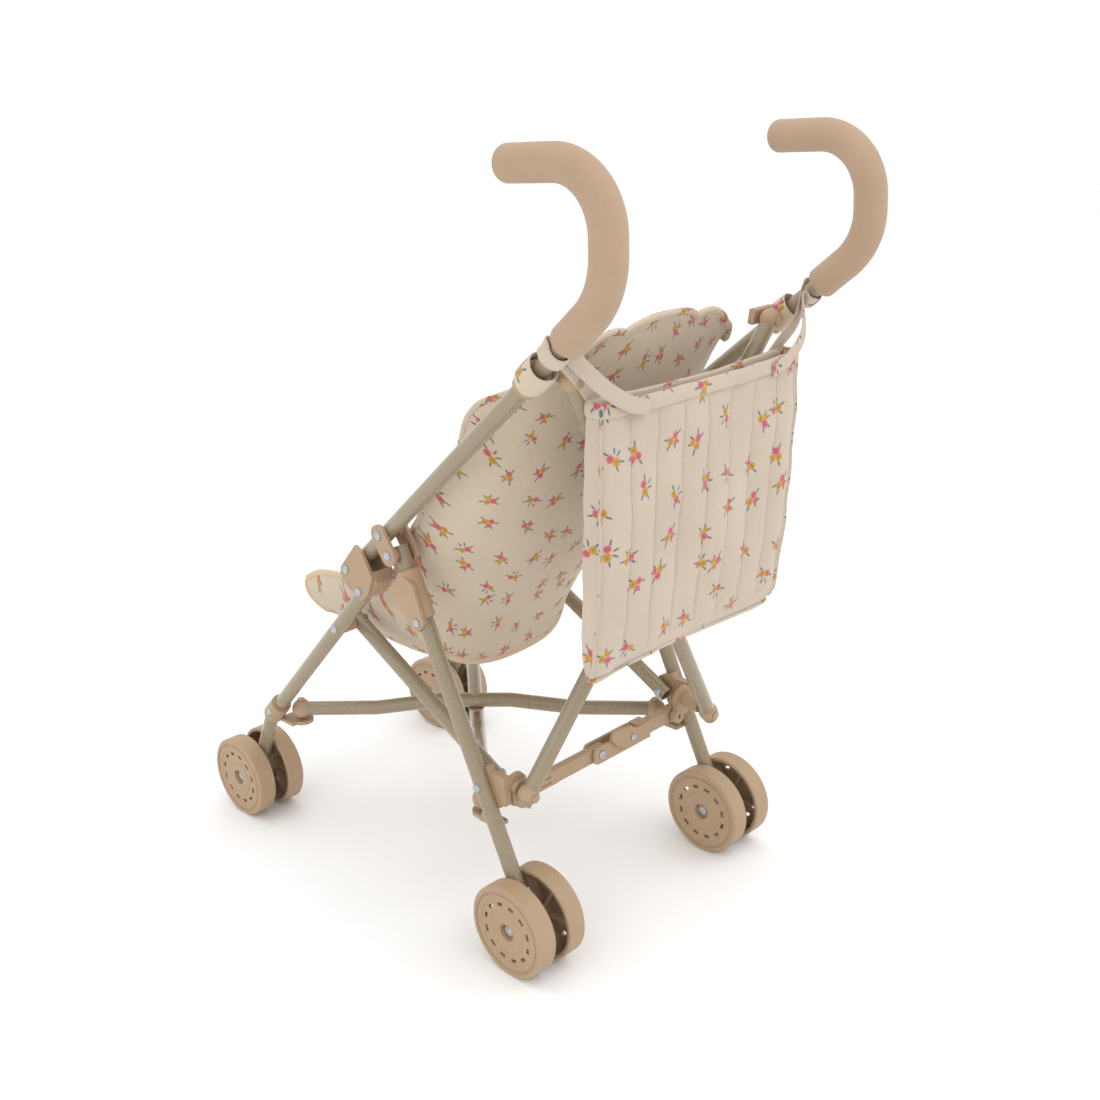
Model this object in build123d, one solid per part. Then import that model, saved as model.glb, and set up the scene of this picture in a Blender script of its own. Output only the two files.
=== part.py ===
from build123d import *
import math
import os

# Folding doll stroller.  Millimetres, +Z up, the child faces -Y, +X is the stroller's left.
# The origin is on the floor, under the middle of the outline.

# ---- driving dimensions -------------------------------------------------------------------
TUBE_R = 5.8            # all frame tubes are 11.6 mm across
WALL = 1.1              # tube wall
FOAM_R = 10.6           # foam grip
WHEEL_R = 34.0
TREAD = 15.2            # width of one wheel
PAIR = 21.7             # from a leg's centre plane to the outer face of its wheel
AXLE_R = 2.0
SLOTS = 12              # windows in a wheel
RIBS = 6
REAR_X = 105.0          # rear leg plane
FRONT_X = 106.5         # front leg plane
HANDLE_X = 105.5        # handle tube at its hinge with the front leg
GRIP_X = 120.8          # handle tube at the lower end of the grip
BRACE_X = 89.0          # side brace plane
OUTER_FACE = 113.4      # inside of the outer hinge plates
INNER_FACE = 98.9       # inside of the inner hinge plates
LINK_OUTER = 115.0      # inside of the link's outer plate
PLATE = 2.5
RIVET_R = 3.3
HEAD = 1.3

# Side view (y, z) of the left side; the right side is its mirror image.
REAR_AXLE = (122.5, 34.0)
FRONT_AXLE = (-207.5, 34.0)
LINK_TOP = (5.6, 293.1)         # link on the handle tube
LINK_LOW = (14.3, 280.2)        # link on the rear leg
KNEE_TOP = (-38.1, 258.2)       # front leg's hinge on the handle tube
KNEE_LOW = (-25.5, 244.1)       # hinge bracket's rivet on the front leg
LEG_BEND = (-176.4, 94.6)       # the front leg turns steeper here
BRACE_TOP = (-66.0, 203.3)
BRACE_LOW = (80.0, 124.0)
SLEEVE_PIN = (34.3, 234.7)
CORNER_PIN = (83.1, 124.0)
GRIP_LOW = (195.2, 444.5)
GRIP_BEND_Z = 473.1
GRIP_TOP = (121.5, 231.0, 541.0)
GRIP_RADII = [44.0, 37.0]
GRIP_TIP = (123.5, 154.5, 539.0)

# Crossed tubes: centre lines at their end pivots.
BACK_TOP = (103.0, 175.0, 420.9)
BACK_LOW = (90.0, 119.0, 121.0)
FLOOR_FRONT = (93.0, -152.0, 103.5)
FLOOR_REAR = (93.0, 69.0, 103.5)
CROSS = 6.2             # half the distance between two crossed tubes
SADDLE_R = 7.4          # round saddle washer on a back tube's pivot
KNUCKLE_R = 8.0         # round plastic knuckle on a floor tube's end
AIR = 0.5               # air under a knuckle or saddle

BAR_PIN = (84.0, 91.6, 110.0)   # lock bar half on its corner bracket
BAR_HALF = 5.4          # half the height of the lock bar's tongue
BAR_REACH = 44.0        # the fork and the tongue start this far from the middle

# Fabric
CLOTH = 2.4
BAG_WALL = 1.8
SLING = [               # middle (y, z), edge (y, z), half width
    ((163, 436), (154, 410), 88),
    ((128, 365), (108, 372), 95),
    ((90, 302), (56, 330), 94),
    ((52, 245), (12, 288), 89),
    ((24, 200), (-18, 254), 83),
    ((10, 171), (-34, 232), 81),
    ((-25, 166), (-50, 222), 81),
    ((-75, 168), (-85, 216), 81),
    ((-125, 170), (-125, 214), 80),
    ((-160, 172), (-147, 216), 79),
]
BAG_TOP = (94.0, 184.8, 196.0, 396.0)       # half width, front y, rear y, height
BAG_LOW = (92.0, 170.0, 181.0, 229.0)


# ---- helpers ------------------------------------------------------------------------------
def rod(p, q, r):
    """Solid round bar between two points."""
    axis = Vector(*q) - Vector(*p)
    bar = Cylinder(r, axis.length, align=(Align.CENTER, Align.CENTER, Align.MIN))
    return Plane(origin=p, z_dir=axis) * bar


def beyond(p, q, distance):
    """The point that lies a distance past q on the way from p."""
    step = (Vector(*q) - Vector(*p)).normalized()
    return tuple(Vector(*q) + step * distance)


def shifted(p, direction, distance):
    return tuple(Vector(*p) + Vector(*direction).normalized() * distance)


def at_x(x, yz):
    return (x, yz[0], yz[1])


def swept(path, r):
    return sweep(Plane(origin=path @ 0, z_dir=path % 0) * Circle(r), path)


def plate(outline, x0, x1):
    """Flat plate parallel to the side plane, from x0 to x1, with its outline in (y, z)."""
    face = Plane.YZ.offset(x0) * make_face(Polyline(*outline, close=True))
    return extrude(face, x1 - x0, dir=(1, 0, 0))


def strap_plate(a, b, r, x0, x1):
    """Plate with round ends about two side-view points."""
    step = Vector(b[0] - a[0], b[1] - a[1])
    n = Vector(-step.Y, step.X).normalized() * r
    outline = [(a[0] + n.X, a[1] + n.Y), (b[0] + n.X, b[1] + n.Y), (b[0] - n.X, b[1] - n.Y), (a[0] - n.X, a[1] - n.Y)]
    return plate(outline, x0, x1) + rod(at_x(x0, a), at_x(x1, a), r) + rod(at_x(x0, b), at_x(x1, b), r)


def rivet(point, direction, r=RIVET_R, h=HEAD):
    """Low domed rivet head that stands on a point."""
    head = Cylinder(r, h, align=(Align.CENTER, Align.CENTER, Align.MIN))
    head = fillet(head.edges().filter_by(GeomType.CIRCLE).sort_by(Axis.Z)[-1], 0.75 * min(h, r))
    return Plane(origin=point, z_dir=Vector(*direction)) * head


def mirrored(part):
    return mirror(part, about=Plane.YZ)


def write(name, *parts):
    """One STEP file with every solid of its parts."""
    solids = [s for p in parts for s in p.solids()]
    export_step(Compound(children=solids), f"parts/{name}.step")


def write_pair(name, *parts):
    write(f"{name}_left", *parts)
    write(f"{name}_right", *[mirrored(p) for p in parts])


# ---- handles ------------------------------------------------------------------------------
GRIP_START = (GRIP_X, *GRIP_LOW)
KNEE_POINT = at_x(HANDLE_X, KNEE_TOP)
HANDLE_END = beyond(GRIP_START, KNEE_POINT, 6.0)
HANDLE_TIP = beyond(GRIP_TOP, GRIP_TIP, -3.5)           # the foam closes over the tube's end


def handle_at(z):
    """Centre of the handle tube at a height below the grip."""
    t = (z - KNEE_TOP[1]) / (GRIP_LOW[1] - KNEE_TOP[1])
    return (HANDLE_X + t * (GRIP_X - HANDLE_X), KNEE_TOP[0] + t * (GRIP_LOW[0] - KNEE_TOP[0]), z)


def handle_path(start, end):
    return FilletPolyline(start, handle_at(GRIP_BEND_Z), GRIP_TOP, end, radius=GRIP_RADII)


def handle_tube():
    path = handle_path(HANDLE_END, HANDLE_TIP)
    return swept(path, TUBE_R) - swept(path, TUBE_R - WALL)


def grip():
    """Foam sleeve with a closed, rounded tip that follows the bent handle."""
    foam = swept(handle_path(GRIP_START, GRIP_TIP), FOAM_R)
    foam = fillet(foam.edges().filter_by(GeomType.CIRCLE).sort_by(Axis.Z)[0], 3.0)
    foam = fillet(foam.edges().filter_by(GeomType.CIRCLE).sort_by(Axis.Y)[0], 6.0)
    return foam - swept(handle_path(HANDLE_END, HANDLE_TIP), TUBE_R)


# ---- back braces and their top blocks ---------------------------------------------------------
BACK_DOWN = Vector(0, BACK_LOW[1] - BACK_TOP[1], BACK_LOW[2] - BACK_TOP[2]).normalized()
BACK_NORMAL = Vector(0, -BACK_DOWN.Z, BACK_DOWN.Y)      # points to the rear


def back_pivot(point, side, offset):
    return shifted((side * point[0], point[1], point[2]), BACK_NORMAL, offset)


def back_brace(side, offset):
    """Tube from the top pivot on one side to the corner bracket on the other, and its saddles."""
    top = back_pivot(BACK_TOP, side, offset)
    low = back_pivot(BACK_LOW, -side, offset)
    high_end, low_end = beyond(low, top, 4.5), beyond(top, low, 8.0)
    solid = rod(high_end, low_end, TUBE_R)
    brace = solid - rod(high_end, low_end, TUBE_R - WALL)
    saddles = [Pos(*p) * Sphere(SADDLE_R) - solid for p in (top, low)]
    heads = [rivet(shifted(p, BACK_NORMAL, SADDLE_R - 0.3), BACK_NORMAL) for p in (top, low)]
    heads = [h - s - solid for h, s in zip(heads, saddles)]
    return brace, saddles, heads


def top_block(offset):
    """Plastic block clamped on the left handle tube, with a boss for the back brace's pivot."""
    face = -CROSS - SADDLE_R - AIR
    pivot = Vector(*BACK_TOP)
    plane = Plane(origin=pivot + BACK_NORMAL * (face - 2.5), x_dir=(1, 0, 0), z_dir=BACK_NORMAL)
    body = plane * Pos(2.8, 0, 0) * Box(20.5, 11, 5.0)
    body = fillet(body.edges().filter_by(Axis.X), 1.5)
    low, high = handle_at(415.5), handle_at(426.5)
    body += rod(low, high, TUBE_R + 2.2)
    start = tuple(pivot + BACK_NORMAL * (face - 2.2))
    end = tuple(pivot + BACK_NORMAL * (offset - SADDLE_R - AIR))
    body += rod(start, end, 4.2)
    return body - rod(handle_at(400), handle_at(440), TUBE_R + 0.02)


# ---- link between handle tube and rear leg ------------------------------------------------
def link():
    outer = strap_plate(LINK_TOP, LINK_LOW, 7.6, LINK_OUTER, LINK_OUTER + PLATE)
    inner = strap_plate(LINK_TOP, LINK_LOW, 7.6, INNER_FACE - PLATE, INNER_FACE)
    spacer = rod(at_x(REAR_X + TUBE_R + 0.4, LINK_LOW), at_x(LINK_OUTER, LINK_LOW), 5.0)
    inner_spacer = rod(at_x(INNER_FACE, LINK_TOP), at_x(handle_at(LINK_TOP[1])[0] - TUBE_R - 0.4, LINK_TOP), 5.0)
    return [outer + spacer, inner + inner_spacer]


def link_rivets():
    heads = []
    for point in (LINK_TOP, LINK_LOW):
        heads.append(rivet(at_x(LINK_OUTER + PLATE, point), (1, 0, 0)))
        heads.append(rivet(at_x(INNER_FACE - PLATE, point), (-1, 0, 0)))
    return heads


# ---- front leg, its hinge bracket and collar ------------------------------------------------
LEG_TOP = beyond(at_x(FRONT_X, LEG_BEND), at_x(FRONT_X, KNEE_LOW), 8.0)
LEG_FOOT = beyond(at_x(FRONT_X, LEG_BEND), at_x(FRONT_X, FRONT_AXLE), 5.0)


def front_leg_path():
    return FilletPolyline(LEG_TOP, at_x(FRONT_X, LEG_BEND), LEG_FOOT, radius=30)


def front_leg():
    path = front_leg_path()
    leg = swept(path, TUBE_R) - swept(path, TUBE_R - WALL)
    return leg - rod((80, *FRONT_AXLE), (130, *FRONT_AXLE), AXLE_R + 0.02)


def knee_bracket():
    """Channel riveted on the front leg's top: two hinge plates and the web behind them."""
    cheek = [(-25, 279), (-44, 259), (-45, 254), (-40, 246), (-23, 237.5), (-14, 245), (-8, 258), (-18, 276)]
    web = [(-22, 238), (-14, 243), (-6, 254), (-9, 262), (-20, 254)]
    body = plate(cheek, OUTER_FACE, OUTER_FACE + PLATE)
    body += plate(cheek, INNER_FACE - PLATE, INNER_FACE)
    body += plate(web, INNER_FACE, OUTER_FACE)
    return body - swept(front_leg_path(), TUBE_R + 0.02)


def front_collar():
    """Plastic ring on the front leg with a shelf under the floor brace's knuckle."""
    x, y, z = FLOOR_FRONT
    foot = at_x(FRONT_X, (-174.0, 97.0))
    head = at_x(FRONT_X, (-160.5, 110.4))
    body = rod(foot, head, TUBE_R + 2.4)
    shelf = z - KNUCKLE_R - AIR
    body += Pos(x, y, shelf - 1.5) * Cylinder(8.5, 3.0)
    body += Pos(x + 6, y - 7, shelf - 1.5) * Box(12, 18, 3.0)
    return body - swept(front_leg_path(), TUBE_R + 0.02)


def front_rivets():
    leg = swept(front_leg_path(), TUBE_R)
    side = FRONT_X + TUBE_R - 0.6
    heads = [rivet(at_x(OUTER_FACE + PLATE, p), (1, 0, 0)) for p in (KNEE_TOP, KNEE_LOW)]
    heads += [rivet(at_x(INNER_FACE - PLATE, p), (-1, 0, 0)) for p in (KNEE_TOP, KNEE_LOW)]
    heads += [rivet(at_x(side, BRACE_TOP), (1, 0, 0), h=HEAD + 0.6) - leg]
    heads += [rivet(at_x(side + 2.4, (-167.4, 103.5)), (1, 0, 0), h=HEAD + 0.6) - front_collar()]
    return heads


def brace_spacer():
    """Plastic spacer on the front leg's inner side, where the side brace turns."""
    spacer = rod(at_x(BRACE_X + TUBE_R + 0.4, BRACE_TOP), at_x(FRONT_X - 3.0, BRACE_TOP), 5.5)
    return spacer - swept(front_leg_path(), TUBE_R)


# ---- rear leg, its sleeve and corner bracket ----------------------------------------------------
REAR_TOP = beyond(at_x(REAR_X, REAR_AXLE), at_x(REAR_X, LINK_LOW), 4.5)
REAR_FOOT = beyond(at_x(REAR_X, LINK_LOW), at_x(REAR_X, REAR_AXLE), 5.0)


def rear_leg_at(z):
    t = (z - REAR_AXLE[1]) / (LINK_LOW[1] - REAR_AXLE[1])
    return (REAR_X, REAR_AXLE[0] + t * (LINK_LOW[0] - REAR_AXLE[0]), z)


def rear_leg():
    leg = rod(REAR_TOP, REAR_FOOT, TUBE_R) - rod(REAR_TOP, REAR_FOOT, TUBE_R - WALL)
    return leg - rod((80, *REAR_AXLE), (130, *REAR_AXLE), AXLE_R + 0.02)


def leg_sleeve():
    """Split plastic sleeve on the rear leg with a flat wing that meets the hinge bracket."""
    sleeve = rod(rear_leg_at(268), rear_leg_at(236), TUBE_R + 2.2)
    wing = [(3, 250), (20, 268), (33, 262), (42, 236), (36, 228.5), (30, 229.5)]
    body = sleeve + plate(wing, REAR_X + 5.4, REAR_X + 7.9)
    slit = Pos(*shifted(rear_leg_at(252), (0.6, 0.8, 0), 7.0)) * Rot(23.7, 0, 0) * Box(1.2, 1.2, 60)
    return body - rod(REAR_TOP, REAR_FOOT, TUBE_R + 0.02) - slit


def corner_bracket(offset):
    """Plastic corner on the left rear leg: pivots for side brace, back brace, floor brace and lock bar."""
    body = Pos(98.6, 84.0, 121.0) * Rot(23.7, 0, 0) * Box(6.4, 15, 30)
    ear_back = -CROSS - SADDLE_R - AIR - 4.0
    axis_point = Vector(*BACK_LOW)
    ear_a = tuple(axis_point + BACK_NORMAL * (ear_back - 3.5))
    ear_b = tuple(axis_point + BACK_NORMAL * ear_back)
    boss_end = tuple(axis_point + BACK_NORMAL * (offset - SADDLE_R - 2 * AIR))
    body += rod(ear_a, ear_b, 9.5)
    body += rod(ear_a, boss_end, 5.2)
    bx, by, bz = BAR_PIN
    body += rod((bx, by + 5.0, bz), (bx, by + 10.0, bz), 5.6)
    body += Pos(bx + 4, by + 7.5, bz + 7) * Box(12, 5.0, 14)
    body += Pos(98.2, 93, 123) * Box(5.6, 16, 22)
    body -= rod((bx, by, bz), (bx, by + 20, bz), 1.6)
    x, y, z = FLOOR_REAR
    shelf = z - KNUCKLE_R - AIR
    body += Pos(x, y, shelf - 1.5) * Cylinder(8.5, 3.0)
    body += Pos(x + 3.5, y + 11, shelf - 1.5) * Box(10, 24, 3.0)
    body += plate([(73, 92), (90, 92), (92, 112), (84, 112)], 100.0, 102.2)
    return body - rod(REAR_TOP, REAR_FOOT, TUBE_R + 0.02)


def rear_rivets():
    leg = rod(REAR_TOP, REAR_FOOT, TUBE_R)
    heads = [rivet(at_x(REAR_X + 7.92, SLEEVE_PIN), (1, 0, 0)) - leg_sleeve()]
    heads += [rivet(at_x(REAR_X + TUBE_R - 0.6, CORNER_PIN), (1, 0, 0), h=HEAD + 0.6) - leg]
    return heads


# ---- side brace -------------------------------------------------------------------------
def side_brace():
    top, low = at_x(BRACE_X, BRACE_TOP), at_x(BRACE_X, BRACE_LOW)
    a, b = beyond(low, top, 7.0), beyond(top, low, 5.0)
    solid = rod(a, b, TUBE_R)
    brace = solid - rod(a, b, TUBE_R - WALL)
    heads = [rivet((BRACE_X - TUBE_R + 0.6, *p), (-1, 0, 0), h=HEAD + 0.6) - solid for p in (BRACE_TOP, BRACE_LOW)]
    return brace, heads


# ---- floor braces -----------------------------------------------------------------------
def floor_brace(side, lift):
    """Gently bent tube from a front collar to the opposite corner bracket, with end knuckles."""
    front = Vector(side * FLOOR_FRONT[0], *FLOOR_FRONT[1:])
    rear = Vector(-side * FLOOR_REAR[0], *FLOOR_REAR[1:])
    stations = [(0.0, 0.0), (0.22, 0.1), (0.40, 1.0), (0.60, 1.0), (0.78, 0.1), (1.0, 0.0)]
    points = [front + (rear - front) * t + Vector(0, 0, lift * k) for t, k in stations]
    path = FilletPolyline(*points, radius=45)
    solid = swept(path, TUBE_R)
    brace = solid - swept(path, TUBE_R - WALL)
    balls = [Pos(*p) * Sphere(KNUCKLE_R) - solid for p in (front, rear)]
    heads = [rivet(shifted(tuple(p), (0, 0, 1), KNUCKLE_R - 0.3), (0, 0, 1)) for p in (front, rear)]
    heads = [h - b for h, b in zip(heads, balls)]
    return brace, balls, heads, solid


def cross_washer():
    """Plastic washer between the two floor braces at their crossing."""
    y = (FLOOR_FRONT[1] + FLOOR_REAR[1]) / 2
    return Pos(0, y, FLOOR_FRONT[2] + 0.9) * Cylinder(6.4, 1.4)


# ---- lock bar ---------------------------------------------------------------------------
def bar_left():
    """Narrow half of the lock bar: a grooved tongue."""
    x, y, z = BAR_PIN
    body = Pos(x, y, z) * Rot(90, 0, 0) * Cylinder(6.2, 7.0)
    body += Pos((x + BAR_REACH) / 2, y, z) * Box(x - BAR_REACH, 7.0, 2 * BAR_HALF)
    body += Pos((BAR_REACH - 4) / 2, y, z) * Box(BAR_REACH + 4 + 0.5, 6.0, 2 * BAR_HALF)
    body += Pos(-4, y, z) * Rot(90, 0, 0) * Cylinder(BAR_HALF, 6.0)
    for dz in (-2.2, 2.2):
        body -= Pos((x + BAR_REACH) / 2, y + 3.5, z + dz) * Box(26, 1.4, 1.4)
    return body


def bar_right():
    """Wide half of the lock bar: a fork that takes the tongue between its cheeks."""
    x, y, z = BAR_PIN
    wide = 11.8
    tall = 2 * BAR_HALF + 2.6
    body = Pos(-x, y, z) * Rot(90, 0, 0) * Cylinder(6.2, 7.0)
    body += Pos(-(x + BAR_REACH) / 2, y, z) * Box(x - BAR_REACH, 7.0, 2 * BAR_HALF)
    body += Pos(-BAR_REACH - 4, y, z) * Box(12, wide, tall)
    for side in (-1, 1):
        cheek = Pos((8 - BAR_REACH) / 2, y + side * (wide - 2.3) / 2, z) * Box(BAR_REACH + 8, 2.3, tall)
        body += fillet(cheek.edges().filter_by(Axis.Y), 4.0)
    return body


def bar_rivets():
    x, y, z = BAR_PIN
    return [rivet((0, y + 5.9, z), (0, 1, 0)), rivet((0, y - 5.9, z), (0, -1, 0))]


def latch():
    """Small finger latch on the rear cheek of the fork."""
    x, y, z = BAR_PIN
    outline = Plane.XZ * make_face(Polyline((-36, z - 2), (-36, z + 7), (-30, z + 13), (-10, z + 15), (-8, z + 9),
                                            (-14, z + 2), (-24, z - 3), close=True))
    body = extrude(outline, 2.6, dir=(0, 1, 0))
    body = Pos(0, y + 6.2, 0) * body
    return body - rod((-31, y, z + 3), (-31, y + 20, z + 3), 1.6)


def latch_pin():
    x, y, z = BAR_PIN
    pin = rod((-31, y + 5.9, z + 3), (-31, y + 9.2, z + 3), 1.55)
    return pin + rivet((-31, y + 9.1, z + 3), (0, 1, 0), r=2.6, h=1.0)


# ---- wheels and axles ---------------------------------------------------------------------
WHEEL_PROFILE = [       # (distance from the hollow side, radius)
    (0.6, 2.06), (0.6, 5.2), (11.6, 6.2), (12.2, 9.0), (12.6, 26.0), (11.8, 30.2), (0.0, 31.0), (0.0, 33.0),
    (1.2, 34.0), (14.0, 34.0), (15.2, 32.8), (15.2, 30.4), (14.3, 29.9), (14.3, 28.4), (15.1, 27.8),
    (15.1, 25.4), (14.5, 24.6), (14.5, 16.0), (15.0, 14.8), (14.6, 6.4), (11.0, 5.6), (11.0, 2.06),
]


def wheel():
    """Wheel about the X axis with its hollow side at x = 0."""
    section = Plane.XY * make_face(Polyline(*WHEEL_PROFILE, close=True))
    body = revolve(section, Axis.X)
    for i in range(RIBS):
        rib = Pos(9.5, 18.2, 0) * Box(6.6, 25.6, 1.6)
        body += Rot(360 / RIBS * i, 0, 0) * rib
    for i in range(SLOTS):
        window = Pos(13.0, 21.0, 0) * Box(20, 2.6, 5.0)
        body -= Rot(360 / SLOTS * (i + 0.5), 0, 0) * window
    return body


def wheel_at(x, axle, outward):
    body = wheel() if outward > 0 else mirrored(wheel())
    return Pos(x + outward * (PAIR - TREAD), axle[0], axle[1]) * body


def axle(x, centre):
    shaft = rod((x - 18.6, *centre), (x + 18.6, *centre), AXLE_R)
    caps = [rod((x + s * 17.7, *centre), (x + s * 18.9, *centre), 3.4) for s in (-1, 1)]
    return shaft + caps[0] + caps[1]


# ---- fabric -------------------------------------------------------------------------------
def sling_section(middle, edge, half):
    """Arched band across the seat, from one edge over the sagging middle to the other."""
    m, e = Vector(0, *middle), Vector(0, *edge)
    lift = (e - m).length
    up = (e - m).normalized()
    plane = Plane(origin=m, x_dir=(1, 0, 0), z_dir=Vector(1, 0, 0).cross(up))
    lower = ThreePointArc((-half, lift), (0, 0), (half, lift))
    upper = ThreePointArc((half - CLOTH, lift), (0, CLOTH), (-half + CLOTH, lift))
    close_a = Line(lower @ 1, upper @ 0)
    close_b = Line(upper @ 1, lower @ 0)
    return plane * make_face([lower, close_a, upper, close_b])


def seat_sling():
    return loft([sling_section(*s) for s in SLING], ruled=True)


def bag_shell(inset, low_z, high_z):
    """Tapered box between two levels of the bag."""
    faces = []
    for z in (low_z, high_z):
        t = (z - BAG_LOW[3]) / (BAG_TOP[3] - BAG_LOW[3])
        half, front, rear = [a + (b - a) * t for a, b in zip(BAG_LOW[:3], BAG_TOP[:3])]
        centre = (front + rear) / 2
        faces.append(Pos(0, centre, z) * Rectangle(2 * (half - inset), rear - front - 2 * inset))
    return loft(faces)


def bag():
    outer = bag_shell(0.0, BAG_LOW[3], BAG_TOP[3])
    return outer - bag_shell(BAG_WALL, BAG_LOW[3] + BAG_WALL, BAG_TOP[3] + 20)


def bag_strap():
    """Loop round the left handle tube and its tail down to the bag."""
    ring = rod(handle_at(429), handle_at(440.5), TUBE_R + 2.0)
    outline = [(78, 397.2), (90, 397.2), (126, 431), (117, 441)]
    tail = Plane.XZ.offset(-192.4) * make_face(Polyline(*outline, close=True))
    tail = extrude(tail, 1.8, dir=(0, -1, 0))
    return ring + tail - rod(handle_at(420), handle_at(443), TUBE_R + 0.3)


# ---- output -------------------------------------------------------------------------------
def write_handles():
    write_pair("handle_tube", handle_tube())
    write_pair("grip", grip())
    write("top_block_left", top_block(CROSS))
    write("top_block_right", mirrored(top_block(-CROSS)))
    write_pair("link", *link())
    write_pair("link_rivets", *link_rivets())


def write_legs():
    write_pair("front_leg", front_leg())
    write_pair("knee_bracket", knee_bracket())
    write_pair("front_collar", front_collar(), brace_spacer())
    write_pair("front_rivets", *front_rivets())
    write_pair("rear_leg", rear_leg())
    write_pair("leg_sleeve", leg_sleeve())
    write("corner_bracket_left", corner_bracket(-CROSS))
    write("corner_bracket_right", mirrored(corner_bracket(CROSS)))
    write_pair("rear_rivets", *rear_rivets())


def write_braces():
    brace, heads = side_brace()
    write_pair("side_brace", brace)
    write_pair("side_brace_rivets", *heads)
    for name, side, offset in (("a", 1, CROSS), ("b", -1, -CROSS)):
        brace, saddles, heads = back_brace(side, offset)
        write(f"back_brace_{name}", brace)
        write(f"back_brace_fittings_{name}", *saddles, *heads)
    for name, side, lift in (("a", 1, CROSS + 1.4), ("b", -1, -CROSS - 1.4)):
        brace, balls, heads, solid = floor_brace(side, lift)
        if lift > 0:
            centre_y = (FLOOR_FRONT[1] + FLOOR_REAR[1]) / 2
            top = (0, centre_y, FLOOR_FRONT[2] + lift + TUBE_R - 0.5)
            heads.append(rivet(top, (0, 0, 1), h=HEAD + 0.5) - solid)
        write(f"floor_brace_{name}", brace)
        write(f"floor_brace_fittings_{name}", *balls, *heads)
    write("cross_washer", cross_washer())


def write_bar():
    write("lock_bar_left", bar_left())
    write("lock_bar_right", bar_right())
    write("lock_bar_rivets", *bar_rivets(), latch_pin())
    write("latch", latch())


def write_wheels():
    for end, x, centre in (("front", FRONT_X, FRONT_AXLE), ("rear", REAR_X, REAR_AXLE)):
        write_pair(f"{end}_axle", axle(x, centre))
        write_pair(f"{end}_wheel_outer", wheel_at(x, centre, 1))
        write_pair(f"{end}_wheel_inner", wheel_at(x, centre, -1))


def write_fabric():
    write("seat_sling", seat_sling())
    write("bag", bag())
    write_pair("bag_strap", bag_strap())


os.makedirs("parts", exist_ok=True)
write_handles()
write_legs()
write_braces()
write_bar()
write_wheels()
write_fabric()
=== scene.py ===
import bpy
import math
from mathutils import Matrix, Vector, noise


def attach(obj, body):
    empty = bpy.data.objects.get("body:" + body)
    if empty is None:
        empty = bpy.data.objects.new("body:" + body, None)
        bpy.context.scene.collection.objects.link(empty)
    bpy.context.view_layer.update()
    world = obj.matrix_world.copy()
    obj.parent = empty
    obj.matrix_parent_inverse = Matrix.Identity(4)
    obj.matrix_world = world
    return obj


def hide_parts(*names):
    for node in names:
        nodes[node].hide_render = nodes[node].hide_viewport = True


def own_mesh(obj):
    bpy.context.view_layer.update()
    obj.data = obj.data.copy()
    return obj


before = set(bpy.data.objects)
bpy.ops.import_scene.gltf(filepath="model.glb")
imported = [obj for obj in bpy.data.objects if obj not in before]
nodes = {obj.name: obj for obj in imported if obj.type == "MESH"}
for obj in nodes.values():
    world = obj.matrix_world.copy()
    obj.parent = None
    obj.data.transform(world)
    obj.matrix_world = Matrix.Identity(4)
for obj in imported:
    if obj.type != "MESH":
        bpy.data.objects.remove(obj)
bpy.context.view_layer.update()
MM = 0.001


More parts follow.
